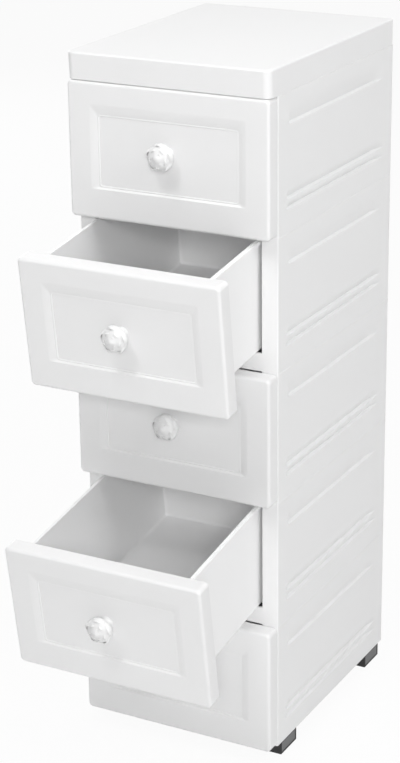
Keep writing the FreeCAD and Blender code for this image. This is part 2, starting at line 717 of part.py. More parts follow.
top_cover()
flower_knob = knob_shape()
for tier in TIERS:
    side_panels(tier)
    shelf_board(tier)
    back_panel(tier)
    roller_pins(tier)
    sill_rollers(tier)
    drawer_front(tier)
    drawer_box(tier)
    knob_and_screw(tier, flower_knob)
FRONT_FOOT = "foot_front_setback + foot_length / 2"
REAR_FOOT = "tower_depth - foot_rear_setback - foot_length / 2"
for side_name, side in (("left", -1), ("right", 1)):
    foot(f"front_{side_name}_foot", side, FRONT_FOOT)
    foot(f"rear_{side_name}_foot", side, REAR_FOOT)
doc.recompute()
all_sound()

os.makedirs("parts", exist_ok=True)
for name, piece in nodes.items():
    piece.Shape.exportStep(f"parts/{name}.step")
    print(name, len(piece.Shape.Solids), round(piece.Shape.Volume))
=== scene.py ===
import json
import math
import bmesh
import bpy
from mathutils import Matrix, Vector


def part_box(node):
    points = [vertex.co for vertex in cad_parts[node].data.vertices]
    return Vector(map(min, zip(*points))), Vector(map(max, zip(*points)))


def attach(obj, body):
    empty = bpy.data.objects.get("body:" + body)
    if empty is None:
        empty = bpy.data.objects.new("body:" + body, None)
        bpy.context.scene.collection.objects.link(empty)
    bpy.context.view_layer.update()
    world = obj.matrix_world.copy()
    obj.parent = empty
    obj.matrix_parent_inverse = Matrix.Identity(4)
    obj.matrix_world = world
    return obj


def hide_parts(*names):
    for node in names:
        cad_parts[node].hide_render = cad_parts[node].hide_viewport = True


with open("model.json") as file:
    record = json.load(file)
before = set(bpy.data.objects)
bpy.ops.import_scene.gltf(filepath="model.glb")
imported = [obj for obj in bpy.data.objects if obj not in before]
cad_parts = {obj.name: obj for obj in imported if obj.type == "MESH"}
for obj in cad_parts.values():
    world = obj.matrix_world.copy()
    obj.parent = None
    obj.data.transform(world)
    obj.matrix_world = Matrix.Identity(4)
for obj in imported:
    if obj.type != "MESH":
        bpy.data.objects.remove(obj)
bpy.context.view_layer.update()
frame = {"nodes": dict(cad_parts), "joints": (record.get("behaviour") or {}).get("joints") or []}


# The four feet are blocks of black rubber, each with a peg that plugs into the lowest tier. The
# outer side of a block has a shallow sunken field, painted a paler grey than its border as a
# painted highlight where that side catches the light, and all edges are softly rounded.
FOOT_EDGE = 0.0006
FOOT_FIELD_DEPTH = 0.0008
SIDEWAYS = 0.99
FOOT_BLACK = (0.012, 0.012, 0.013, 1)
FOOT_BLACK_SHADE = (0.02, 0.02, 0.02, 1)
# The paler grey of the painted highlight on each foot's outer side field.
PAINTED_HIGHLIGHT_GREY = (0.14, 0.14, 0.145, 1)
PAINTED_HIGHLIGHT_GREY_SHADE = (0.10, 0.10, 0.10, 1)
FLOW_SCALE = 9.0
GLOSS_SPREAD = 0.1
PLASTIC_IOR = 1.49
SAME_POINT = 1e-6
FLAT_ANGLE = 0.5
SHARP_ANGLE = 35


class Wire:
    """A socket in a material's nodes. Sums and products of wires add their own Math nodes."""

    def __init__(self, tree, socket=None):
        self.tree = tree
        self.socket = socket

    def node(self, kind, settings=(), inputs=(), output=0):
        """Adds a node: its settings first, and then the values or wires of its sockets."""
        made = self.tree.nodes.new(kind)
        for setting, value in dict(settings).items():
            setattr(made, setting, value)
        for name, value in dict(inputs).items():
            if isinstance(value, Wire):
                self.tree.links.new(value.socket, made.inputs[name])
            else:
                made.inputs[name].default_value = value
        return Wire(self.tree, made.outputs[output] if made.outputs else None)

    def maths(self, operation, first, second):
        return self.node("ShaderNodeMath", {"operation": operation}, {0: first, 1: second})

    def mixed(self, low, high):
        """A colour between two, with this wire as the factor."""
        return self.node("ShaderNodeMix", {"data_type": "RGBA"}, {0: self, 6: low, 7: high}, 2)

    def __add__(self, other):
        return self.maths("ADD", self, other)

    def __sub__(self, other):
        return self.maths("SUBTRACT", self, other)

    def __mul__(self, other):
        return self.maths("MULTIPLY", self, other)

    def __rsub__(self, other):
        return self.maths("SUBTRACT", other, self)

    __radd__ = __add__
    __rmul__ = __mul__


def emptied(owner):
    """A wire into the nodes of a new material or world, which are cleared first."""
    owner.use_nodes = True
    owner.node_tree.nodes.clear()
    return Wire(owner.node_tree)


def moulded(name, colour, shade, roughness, grain, grain_depth):
    """Moulded plastic or rubber: a fine grain from the mould, and a slow unevenness in colour
    and gloss from how the melt flowed and cooled. Colour runs from the shade to the colour."""
    paint = bpy.data.materials.new(name)
    wire = emptied(paint)
    place = wire.node("ShaderNodeTexCoord", output="Object")
    flow = wire.node("ShaderNodeTexNoise", {}, {"Vector": place, "Scale": FLOW_SCALE, "Detail": 2.0})
    fine = wire.node("ShaderNodeTexNoise", {},
                     {"Vector": place, "Scale": 1 / grain, "Detail": 3.0, "Roughness": 0.6})
    bump = wire.node("ShaderNodeBump", {},
                     {"Strength": 1.0, "Distance": grain_depth, "Height": fine}, "Normal")
    gloss = (flow - 0.5) * GLOSS_SPREAD + (fine - 0.5) * GLOSS_SPREAD + roughness
    skin = wire.node("ShaderNodeBsdfPrincipled", {},
                     {"Base Color": flow.mixed(shade, colour), "Roughness": gloss,
                      "IOR": PLASTIC_IOR, "Normal": bump}, "BSDF")
    wire.node("ShaderNodeOutputMaterial", {}, {"Surface": skin})
    return paint


def put_in_scene(name, content):
    """A new object at the origin. A piece's place is in its mesh."""
    piece = bpy.data.objects.new(name, content)
    bpy.context.scene.collection.objects.link(piece)
    return piece


def mesh_of(shape, name):
    """A mesh with what the shape holds, after which the shape is freed."""
    mesh = bpy.data.meshes.new(name)
    shape.to_mesh(mesh)
    shape.free()
    return mesh


def baked(piece):
    """The piece with its modifiers applied to its mesh."""
    ready = piece.evaluated_get(bpy.context.evaluated_depsgraph_get())
    mesh = bpy.data.meshes.new_from_object(ready)
    piece.modifiers.clear()
    piece.data = mesh
    return piece


def softened(node, name, width, paint):
    """A copy of a solid of the model, with its sharp edges rounded as a mould leaves them."""
    shape = bmesh.new()
    shape.from_mesh(frame["nodes"][node].data)
    bmesh.ops.remove_doubles(shape, verts=shape.verts, dist=SAME_POINT)
    bmesh.ops.dissolve_limit(shape, angle_limit=math.radians(FLAT_ANGLE), verts=shape.verts,
                             edges=shape.edges)
    mesh = mesh_of(shape, name)
    mesh.materials.append(paint)
    piece = put_in_scene(name, mesh)
    bevel = piece.modifiers.new("edges", "BEVEL")
    bevel.width = width
    bevel.segments = 2
    bevel.angle_limit = math.radians(SHARP_ANGLE)
    return smoothed(piece)


def smoothed(piece, angle=SHARP_ANGLE):
    """Rounded edges shade smoothly into faces that stay flat. Edges past the angle stay sharp."""
    piece = baked(piece)
    piece.data.shade_smooth()
    piece.data.set_sharp_from_angle(angle=math.radians(angle))
    piece.modifiers.new("flat_faces", "WEIGHTED_NORMAL").keep_sharp = True
    return baked(piece)


def install(piece, body, slot, *nodes):
    """The piece moves with its body and stands for these solids of the model."""
    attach(piece, body)
    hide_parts(*nodes)


foot_rubber = moulded("foot_rubber", FOOT_BLACK, FOOT_BLACK_SHADE,
                      roughness=0.55, grain=0.0006, grain_depth=0.00006)
# The same black rubber in a paler grey: a painted highlight for the outer side field that catches the
# light.
painted_highlight_rubber = moulded("foot_side_painted_highlight", PAINTED_HIGHLIGHT_GREY, PAINTED_HIGHLIGHT_GREY_SHADE,
                        roughness=0.45, grain=0.0006, grain_depth=0.00004)
for foot in ("front_left_foot", "rear_left_foot", "front_right_foot", "rear_right_foot"):
    piece = softened(foot, f"{foot}_rubber", FOOT_EDGE, foot_rubber)
    piece.data.materials.append(painted_highlight_rubber)
    low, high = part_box(foot)
    field = max(abs(low.x), abs(high.x)) - FOOT_FIELD_DEPTH
    # Faces of the sunken field on the outer side take the painted highlight grey.
    for face in piece.data.polygons:
        on_side = abs(face.normal.x) > SIDEWAYS and abs(abs(face.center.x) - field) < FOOT_EDGE / 2
        face.material_index = 1 if on_side else 0
    install(piece, "tower", "black_foot_rubber", foot)


# The side panels are injection moulded shells of white polypropylene, one on each side of each
# tier, and the tiers plug into each other. A wide and two narrow grooves are pressed into each
# skin, and its front edge is folded in as a stile beside the drawer. Sizes are in millimetres.
MILLIMETRE = 0.001
HALF_WIDTH = 150
DEPTH = 390
TIER_HEIGHT = 187.8
SKIN = 3
STILE = 24
STILE_RETURN = 14
POST = 18
FRAME_FACE = 25
PANEL_CORNER = 2
REAR_CORNER = 1.5
SEAM_EDGE = 0.5
# Of each groove: the height of its lower edge, its own height, and how far it stays from the
# stile in front and from the skin's end behind.
GROOVES = ((144.8, 28, 30), (45.8, 15, 25), (31.8, 10.5, 24))
GROOVE_DEPTH = 4
GROOVE_CURVE = 1.8
GROOVE_FLANK = 2.6
GROOVE_FRONT_END = 7
GROOVE_REAR_END = 34
FRONT_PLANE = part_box("top_cover")[0].y
TIERS = (1, 2, 3, 4, 5)

WHITE = (0.85, 0.85, 0.85, 1)
WHITE_SHADE = (0.835, 0.835, 0.837, 1)
case_plastic = moulded("case_plastic", WHITE, WHITE_SHADE,
                       roughness=0.42, grain=0.0005, grain_depth=0.00002)


def lofted(shape, loops, ring=False):
    """A closed skin through loops that have the same number of points. It is capped at its two
    ends, or else the last loop joins the first."""
    rows = [[shape.verts.new(point) for point in loop] for loop in loops]
    pairs = list(zip(rows, rows[1:] + rows[:1]))
    for row, following in pairs if ring else pairs[:-1]:
        for one in range(len(row)):
            two = (one + 1) % len(row)
            shape.faces.new((row[one], row[two], following[two], following[one]))
    if not ring:
        shape.faces.new(rows[0])
        shape.faces.new(rows[-1])


def slab(shape, x, y, z):
    """A plain block between low and high limits."""
    lofted(shape, [[(x[0], y[0], level), (x[1], y[0], level), (x[1], y[1], level),
                    (x[0], y[1], level)] for level in z])


def rounded(start, end, low, high, radii, steps=6):
    """The outline of a rectangle with rounded corners, round from its low start corner."""
    corners = ((start, low, 1, 1), (end, low, -1, 1), (end, high, -1, -1), (start, high, 1, -1))
    points = []
    for number, ((across, up, inward, upward), radius) in enumerate(zip(corners, radii)):
        for step in range(steps + 1):
            turn = math.radians(180 + 90 * number + 90 * step / steps)
            points.append((across + inward * radius + radius * math.cos(turn),
                           up + upward * radius + radius * math.sin(turn)))
    return points


def quarter(steps):
    """Sine and cosine on the way round a quarter of a circle."""
    turns = [math.radians(90 * step / steps) for step in range(steps + 1)]
    return [(math.sin(turn), math.cos(turn)) for turn in turns]


def in_tier(tier):
    """From millimetres, with X across, Y back from the plane of the closed fronts and Z up from
    the underside of the tier, to the tier's place in the tower."""
    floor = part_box(f"back_panel_{tier}")[0].z
    return Matrix.Translation((0, FRONT_PLANE, floor)) @ Matrix.Scale(MILLIMETRE, 4)


def made(shape, name, paint, place, angle=SHARP_ANGLE):
    """The finished object of a shape: closed, its faces outwards, and set in its place."""
    shape.transform(place)
    bmesh.ops.remove_doubles(shape, verts=shape.verts, dist=SAME_POINT)
    bmesh.ops.recalc_face_normals(shape, faces=shape.faces)
    mesh = mesh_of(shape, name)
    mesh.materials.append(paint)
    return smoothed(put_in_scene(name, mesh), angle)


def eased(share):
    """From 0 to 1 with a soft start and a soft end."""
    share = min(max(share, 0), 1)
    return share * share * (3 - 2 * share)


def groove_depth(y, z):
    """How deep the skin is pressed in. A groove's roof curves in from above, its lower flank is
    steep, and it runs out at its ends."""
    deepest = 0
    for low, height, margin in GROOVES:
        roof = (low + height - z) / (height - GROOVE_FLANK)
        depth = GROOVE_DEPTH * min(max(roof, 0), 1) ** GROOVE_CURVE
        depth *= eased((z - low) / GROOVE_FLANK)
        depth *= eased((y - FRAME_FACE - margin) / GROOVE_FRONT_END)
        deepest = max(deepest, depth * eased((DEPTH - margin - SKIN - y) / GROOVE_REAR_END))
    return deepest


def spaced(start, end, steps):
    """Values at equal steps from the start to the end."""
    return [start + (end - start) * step / steps for step in range(steps + 1)]


def panel_lines():
    """The lines along and up the skin that its mesh follows: close together where it bends."""
    along = set(spaced(FRAME_FACE + SKIN, DEPTH - SKIN, 6))
    up = {0, SEAM_EDGE / 3, SEAM_EDGE}
    up |= {TIER_HEIGHT - SEAM_EDGE, TIER_HEIGHT - SEAM_EDGE / 3, TIER_HEIGHT}
    for low, height, margin in GROOVES:
        start = FRAME_FACE + margin
        end = DEPTH - margin - SKIN
        along |= set(spaced(start, start + GROOVE_FRONT_END, 4))
        along |= set(spaced(end - GROOVE_REAR_END, end, 5))
        up |= set(spaced(low, low + GROOVE_FLANK, 5))
        up |= set(spaced(low + GROOVE_FLANK, low + height, 8))
    return sorted(along), sorted(up)


def panel_loop(along, z):
    """A level section of the right panel: round the stile, along the outside and back inside."""
    edge = SEAM_EDGE * eased(1 - min(z, TIER_HEIGHT - z) / SEAM_EDGE)
    outside = HALF_WIDTH - edge
    inner = HALF_WIDTH - STILE
    loop = [(inner, FRAME_FACE)]
    loop += [(outside - PANEL_CORNER * (1 - sine), FRAME_FACE + PANEL_CORNER * (1 - cosine))
             for sine, cosine in quarter(4)]
    loop += [(outside - groove_depth(y, z), y) for y in along]
    loop += [(outside - REAR_CORNER * (1 - cosine), DEPTH - REAR_CORNER * (1 - sine))
             for sine, cosine in quarter(3)]
    loop += [(HALF_WIDTH - POST, DEPTH), (HALF_WIDTH - POST, DEPTH - SKIN)]
    loop += [(HALF_WIDTH - SKIN - groove_depth(y, z), y) for y in reversed(along)]
    loop += [(inner + SKIN, FRAME_FACE + SKIN), (inner + SKIN, FRAME_FACE + STILE_RETURN),
             (inner, FRAME_FACE + STILE_RETURN)]
    return [(x, y, z) for x, y in loop]


# The ledge carries the shelf board, and the tongue goes down into the tier below.
LEDGE = ((139, 147), (39, 384.5), (20.5, 23.5))
TONGUE = ((144, 147), (42, 381.5), (-8, 10))
along, up = panel_lines()
for tier in TIERS:
    for side, sign in (("right", 1), ("left", -1)):
        shape = bmesh.new()
        lofted(shape, [panel_loop(along, z) for z in up])
        slab(shape, *LEDGE)
        if tier < len(TIERS):
            slab(shape, *TONGUE)
        place = in_tier(tier) @ Matrix.Diagonal((sign, 1, 1, 1))
        panel = made(shape, f"{side}_side_shell_{tier}", case_plastic, place)
        install(panel, "tower", "white_case_plastic", f"{side}_side_panel_{tier}")


# The shelf boards lie on the ledges of the side panels and close each tier below, with a sill in
# front. The back panels are thin ribbed sheets that drop in between the boards and the rear posts.
# Both are moulded from the same white polypropylene.
BOARD_EDGE = 0.0005
BACK_EDGE = 0.0003
for tier in TIERS:
    board = softened(f"shelf_board_{tier}", f"shelf_{tier}", BOARD_EDGE, case_plastic)
    install(board, "tower", "white_case_plastic", f"shelf_board_{tier}")
    back = softened(f"back_panel_{tier}", f"back_{tier}", BACK_EDGE, case_plastic)
    install(back, "tower", "white_case_plastic", f"back_panel_{tier}")


# The lid is one moulding: a flat top with rounded edges and a deep skirt that drops over the
# highest tier. A wall behind the front skirt closes the tier, and two rails grip the side panels.
LID_HEIGHT = 37
LID_EDGE = 3
LID_CORNER = 11
LID_REAR_CORNER = 3
LID_DRAFT = 0.3
LID_LEAN = 1.5
LID_RIM = 0.4
LEAST_CORNER = 1
LID_HEADER = ((-147, 147), (25, 28), (0.3, 35.5))
LID_RAILS = ((-147, -144), (144, 147))
LID_RAIL_SIDE = ((42, 348), (-8, 35.5))


def lid_loop(inset, z):
    """A level outline of the lid, at an inset from its greatest outline. The front leans in."""
    corner = max(LID_CORNER - inset, LEAST_CORNER)
    rear_corner = max(LID_REAR_CORNER - inset, LEAST_CORNER)
    lean = LID_LEAN * max(1 - z / (LID_HEIGHT - LID_EDGE), 0)
    outline = rounded(inset - HALF_WIDTH, HALF_WIDTH - inset, inset + lean, DEPTH - inset,
                      (corner, corner, rear_corner, rear_corner))
    return [(x, y, z) for x, y in outline]


shape = bmesh.new()
lid_steps = [(SKIN, LID_HEIGHT - SKIN), (SKIN + LID_DRAFT, LID_RIM)]
lid_steps += [(SKIN + LID_DRAFT - LID_RIM, 0), (LID_DRAFT + LID_RIM, 0), (LID_DRAFT, LID_RIM)]
lid_steps += [(LID_EDGE * (1 - cosine), LID_HEIGHT - LID_EDGE * (1 - sine))
              for sine, cosine in quarter(6)]
lofted(shape, [lid_loop(inset, z) for inset, z in lid_steps])
slab(shape, *LID_HEADER)
for rail in LID_RAILS:
    slab(shape, rail, *LID_RAIL_SIDE)
lid = made(shape, "lid", case_plastic, in_tier(1) @ Matrix.Translation((0, 0, TIER_HEIGHT)))
install(lid, "tower", "white_case_plastic", "top_cover")


# A pair of small rollers of dark grey acetal carries each drawer at the ends of its sill. They
# turn on short steel pins held in cheeks of the board.
ROLLER_AXIS = (34, 22.7)
ROLLER_RADIUS = 5.5
ROLLER_ENDS = (114.6, 123.2)
ROLLER_EDGE = 0.8
ROLLER_BORE = 1.55
PIN_RADIUS = 1.5
PIN_ENDS = (111.8, 125.95)
PIN_EDGE = 0.3
PIN_SEGMENTS = 16
ROLLER_GREY = (0.035, 0.035, 0.037, 1)
ROLLER_GREY_SHADE = (0.028, 0.028, 0.03, 1)
STEEL_GREY = (0.62, 0.63, 0.65, 1)
STEEL_SHADE = (0.52, 0.53, 0.55, 1)
STEEL_STREAKS = (60, 2500, 2500)
STEEL_GLOSS_SPREAD = 0.15
roller_acetal = moulded("roller_acetal", ROLLER_GREY, ROLLER_GREY_SHADE,
                        roughness=0.38, grain=0.0004, grain_depth=0.00001)


def steel(name, roughness):
    """Drawn and zinc plated steel: streaks of gloss along the wire, and a faint blue tint."""
    paint = bpy.data.materials.new(name)
    wire = emptied(paint)
    place = wire.node("ShaderNodeTexCoord", output="Object")
    streaks = wire.node("ShaderNodeMapping", {}, {"Vector": place, "Scale": STEEL_STREAKS})
    cloud = wire.node("ShaderNodeTexNoise", {}, {"Vector": streaks, "Scale": 1.0, "Detail": 3.0})
    colour = cloud.mixed(STEEL_SHADE, STEEL_GREY)
    skin = wire.node("ShaderNodeBsdfPrincipled", {},
                     {"Base Color": colour, "Metallic": 1.0,
                      "Roughness": cloud * STEEL_GLOSS_SPREAD + roughness}, "BSDF")
    wire.node("ShaderNodeOutputMaterial", {}, {"Surface": skin})
    return paint


pin_steel = steel("pin_steel", roughness=0.22)


def turned(shape, profile, place, ring=False, segments=32):
    """A shape turned about the Z axis from a profile of radii and heights, set in its place."""
    loops = []
    for radius, height in profile:
        turns = [math.tau * step / segments for step in range(segments)]
        loops.append([place @ Vector((radius * math.cos(turn), radius * math.sin(turn), height))
                      for turn in turns])
    lofted(shape, loops, ring)


roller_length = ROLLER_ENDS[1] - ROLLER_ENDS[0]
half_roller = [(ROLLER_BORE, 0), (ROLLER_RADIUS - ROLLER_EDGE, 0)]
half_roller += [(ROLLER_RADIUS - ROLLER_EDGE * (1 - sine), ROLLER_EDGE * (1 - cosine))
                for sine, cosine in quarter(3)][1:]
roller_profile = half_roller + [(radius, roller_length - height)
                                for radius, height in reversed(half_roller)]
pin_length = PIN_ENDS[1] - PIN_ENDS[0]
pin_profile = [(PIN_RADIUS - PIN_EDGE, 0), (PIN_RADIUS, PIN_EDGE),
               (PIN_RADIUS, pin_length - PIN_EDGE), (PIN_RADIUS - PIN_EDGE, pin_length)]
along_x = Matrix.Rotation(math.radians(90), 4, "Y")
for tier in TIERS:
    rollers = bmesh.new()
    pins = bmesh.new()
    for start, pin_start in ((ROLLER_ENDS[0], PIN_ENDS[0]), (-ROLLER_ENDS[1], -PIN_ENDS[1])):
        on_axis = Matrix.Translation((start, *ROLLER_AXIS)) @ along_x
        turned(rollers, roller_profile, on_axis, ring=True)
        on_axis = Matrix.Translation((pin_start, *ROLLER_AXIS)) @ along_x
        turned(pins, pin_profile, on_axis, segments=PIN_SEGMENTS)
    install(made(rollers, f"rollers_{tier}", roller_acetal, in_tier(tier)), f"rollers_{tier}",
            "grey_roller_plastic", f"sill_rollers_{tier}")
    install(made(pins, f"pins_{tier}", pin_steel, in_tier(tier)), f"cradle_{tier}",
            "pin_steel", f"roller_pins_{tier}")


# Each drawer's tub is a thin-walled moulding of translucent white polypropylene. Its rim steps
# down and folds over as a lip, and a wide plate in front of it carries the drawer front.
BOX_HALF = 120.5
BOX_FRONT = 24
BOX_REAR = 370
BOX_BOTTOM = 28.5
BOX_WALL = 2.2
BOX_CORNER = 6
BOX_TIGHT_CORNER = 0.6
BOX_FOOT_EDGE = 3
BOX_FILLET = 4
RIM_TOP = 183.05
RIM_OUT = 3.5
RIM_STEP = 1.2
RIM_WALL = 1.8
RIM_LIP = 6.5
RIM_EDGE = 0.5
PLATE_BEHIND = 1.8
PLATE = ((-146.5, 146.5), (21.8, 23.9), (4.25, 183.55))
BOX_WHITE = (0.9, 0.9, 0.9, 1)
BOX_WHITE_SHADE = (0.89, 0.89, 0.892, 1)
box_plastic = moulded("box_plastic", BOX_WHITE, BOX_WHITE_SHADE,
                      roughness=0.36, grain=0.0008, grain_depth=0.00001)


def in_drawer(tier):
    """The same for a drawer's pieces, which stand out and hang down as the drawer does at rest."""
    joints = {joint["name"]: joint for joint in frame["joints"]}
    slide = joints[f"drawer_{tier}_slide"]
    axle = Matrix.Translation(joints[f"drawer_{tier}_droop"]["pos_m"])
    droop = Matrix.Rotation(math.atan2(-slide["axis"][2], -slide["axis"][1]), 4, "X")
    pull = Matrix.Translation((0, slide["range_m"][0], 0))
    return axle @ droop @ axle.inverted() @ pull @ in_tier(tier)


def tub_loop(out, z, front=BOX_FRONT):
    """A level outline of the tub, so far out from the outside of its walls. In front it ends
    square in the plate, apart from the inside, which has tight corners there."""
    corner = max(BOX_CORNER + out, BOX_TIGHT_CORNER)
    front_corner = BOX_TIGHT_CORNER if front >= BOX_FRONT else 0
    outline = rounded(-BOX_HALF - out, BOX_HALF + out, front, BOX_REAR + out,
                      (front_corner, front_corner, corner, corner))
    return [(x, y, z) for x, y in outline]


def tub_loops():
    """From the floor up inside, over the rim and its lip, and down outside to the underside."""
    inside = BOX_BOTTOM + BOX_WALL
    behind = BOX_FRONT - PLATE_BEHIND
    flange = RIM_TOP - RIM_STEP
    lip = RIM_TOP - RIM_LIP
    loops = [tub_loop(-BOX_WALL - BOX_FILLET * (1 - sine), inside + BOX_FILLET * (1 - cosine),
                      BOX_FRONT + BOX_FILLET * (1 - sine)) for sine, cosine in quarter(4)]
    loops.append(tub_loop(-BOX_WALL, RIM_TOP - RIM_EDGE))
    rim = ((-BOX_WALL + RIM_EDGE, RIM_TOP), (-RIM_EDGE / 2, RIM_TOP), (0, RIM_TOP - RIM_EDGE / 2),
           (0, flange), (RIM_OUT - RIM_EDGE, flange), (RIM_OUT, flange - RIM_EDGE), (RIM_OUT, lip),
           (RIM_OUT - RIM_WALL, lip), (RIM_OUT - RIM_WALL, flange - RIM_WALL),
           (0, flange - RIM_WALL))
    loops += [tub_loop(out, z, behind) for out, z in rim]
    loops += [tub_loop(-BOX_FOOT_EDGE * (1 - cosine), BOX_BOTTOM + BOX_FOOT_EDGE * (1 - sine), behind)
              for sine, cosine in quarter(4)]
    return loops


for tier in TIERS:
    shape = bmesh.new()
    lofted(shape, tub_loops())
    slab(shape, *PLATE)
    tub = made(shape, f"tub_{tier}", box_plastic, in_drawer(tier))
    install(tub, f"drawer_{tier}", "white_box_plastic", f"drawer_box_{tier}")


# The drawer fronts are hollow mouldings with rounded edges, snapped on to the plate of the tub.
# A wide field is sunk into the face: its upper edge slopes in gently, and a small bead and a step
# run round its floor.
FRONT_HALF = 149.5
FRONT_LOW = 1.25
FRONT_HIGH = 187.1
FRONT_DEPTH = 24
FRONT_WALL = 3
FRONT_EDGE = 4.5
FRONT_CORNER = 6.5
FRONT_RIM = 0.3
HOLLOW_START = 7.2
FIELD = (-117, 117, 42.4, 158.8)
FIELD_FLOOR = (-105, 105, 45, 143.8)
FIELD_DEPTH = 3.2
FIELD_STEP = 0.6
FIELD_BEAD = 0.2
FIELD_STEP_WIDTH = 0.6
FIELD_CORNER = 3
FIELD_ROWS = 6
FIELD_START_SLOPE = 0.45
FRONT_SHARP_ANGLE = 28
BOSS_RADIUS = 6
BOSS_OVERLAP = 1
KNOB_HEIGHT = 101
FRONT_WHITE = (0.84, 0.84, 0.84, 1)
FRONT_WHITE_SHADE = (0.825, 0.825, 0.827, 1)
front_plastic = moulded("front_plastic", FRONT_WHITE, FRONT_WHITE_SHADE,
                        roughness=0.44, grain=0.0008, grain_depth=0.000012)


def front_loop(inset, y):
    """An upright outline of the front, at an inset from its greatest outline."""
    corner = max(FRONT_CORNER - inset, LEAST_CORNER)
    outline = rounded(inset - FRONT_HALF, FRONT_HALF - inset, FRONT_LOW + inset, FRONT_HIGH - inset,
                      [corner] * 4)
    return [(x, y, z) for x, z in outline]


def field_loop(share, y, inset=0):
    """An outline between the field's outer edge and its floor."""
    start, end, low, high = (outer + (inner - outer) * share
                             for outer, inner in zip(FIELD, FIELD_FLOOR))
    outline = rounded(start + inset, end - inset, low + inset, high - inset, [FIELD_CORNER] * 4)
    return [(x, y, z) for x, z in outline]


def front_loops():
    """From the bottom of the hollow behind, round the outside and over the face to the field."""
    loops = [front_loop(FRONT_WALL, HOLLOW_START), front_loop(FRONT_WALL, FRONT_DEPTH),
             front_loop(FRONT_RIM, FRONT_DEPTH), front_loop(0, FRONT_DEPTH - FRONT_RIM)]
    loops += [front_loop(FRONT_EDGE * (1 - cosine), FRONT_EDGE * (1 - sine))
              for sine, cosine in quarter(6)]
    slope = FIELD_DEPTH - FIELD_STEP
    for row in range(FIELD_ROWS + 1):
        share = row / FIELD_ROWS
        steepness = FIELD_START_SLOPE + (1 - FIELD_START_SLOPE) * share
        loops.append(field_loop(share, slope * share * steepness))
    bead = slope - FIELD_BEAD
    bead_and_step = ((bead, 1), (bead, 3), (FIELD_DEPTH, 4), (FIELD_DEPTH, 7))
    return loops + [field_loop(1, y, widths * FIELD_STEP_WIDTH) for y, widths in bead_and_step]


into_drawer = Matrix.Rotation(math.radians(-90), 4, "X")
boss_profile = [(BOSS_RADIUS, HOLLOW_START - BOSS_OVERLAP), (BOSS_RADIUS, FRONT_DEPTH - BOX_WALL)]
for tier in TIERS:
    shape = bmesh.new()
    lofted(shape, front_loops())
    turned(shape, boss_profile, Matrix.Translation((0, 0, KNOB_HEIGHT)) @ into_drawer)
    front = made(shape, f"front_{tier}", front_plastic, in_drawer(tier), FRONT_SHARP_ANGLE)
    install(front, f"drawer_{tier}", "white_front_plastic", f"drawer_front_{tier}")


# Each knob is a flower moulded in white plastic: rings of petals that lie close about a domed
# heart, on a waisted stem. A steel pan head screw with a cross recess holds it from inside the tub.
KNOB_SEAT = 4
RING_PETALS = 5
INNER_PETALS = 3
PETAL_ROWS = 10
PETAL_COLUMNS = 12
PETAL_SPREAD = 44
PETAL_BULGE = 1.2
# A petal thins and narrows towards its tip. Its sides curl in to the heart and hang lower.
PETAL_CURL = 1.2
PETAL_SAG = 0.9
PETAL_WALL = 1.9
PETAL_TIP_START = 0.6
PETAL_TIP_WIDTH = 0.3
PETAL_TIP_WALL = 0.45
PETAL_EDGE = 0.04
PETAL_SAME_POINT = 1e-4
KNOB_SHARP_ANGLE = 50
PETAL_PROFILE = ((4.5, 13.0), (11.5, 13.6), (16.2, 16.6), (17.6, 21.5), (16.6, 27.0))
STEM_PROFILE = ((9.2, 0), (9.2, 1.0), (8.2, 2.2), (6.8, 4.5), (6.4, 8), (7.6, 11.5),
                (10.5, 14.5), (10.5, 16))
HEART_PROFILE = ((2.5, 13.6), (13, 14.6), (17.2, 18), (17.6, 22), (16.2, 25.4), (12.2, 27.9), (8, 29.4),
                 (5.6, 30.6), (3.9, 31.8), (2, 32.7), (0.4, 33.0))
SCREW_RADIUS = 2
SCREW_LENGTH = 11.7
SCREW_HEAD = ((4.0, 0), (4.0, 0.7), (3.6, 1.6), (2.6, 2.3), (1.2, 2.6), (0.2, 2.6))
SCREW_HEAD_SEGMENTS = 24
SCREW_OVERLAP = 0.1
RECESS = (4.4, 0.9, 1.5)
RECESS_OVERCUT = 1
KNOB_WHITE = (0.81, 0.81, 0.81, 1)
KNOB_WHITE_SHADE = (0.795, 0.795, 0.797, 1)
knob_plastic = moulded("knob_plastic", KNOB_WHITE, KNOB_WHITE_SHADE,
                       roughness=0.6, grain=0.0008, grain_depth=0.00001)
screw_steel = steel("screw_steel", roughness=0.28)


def along_profile(profile, share):
    """The point at a share of the way along a profile, smoothly between its points."""
    place = share * (len(profile) - 1)
    number = min(int(place), len(profile) - 2)
    before = Vector(profile[max(number - 1, 0)])
    here, after = Vector(profile[number]), Vector(profile[number + 1])
    beyond = Vector(profile[min(number + 2, len(profile) - 1)])
    t = place - number
    return 0.5 * (2 * here + (after - before) * t
                  + (2 * before - 5 * here + 4 * after - beyond) * t ** 2
                  + (3 * here - before - 3 * after + beyond) * t ** 3)


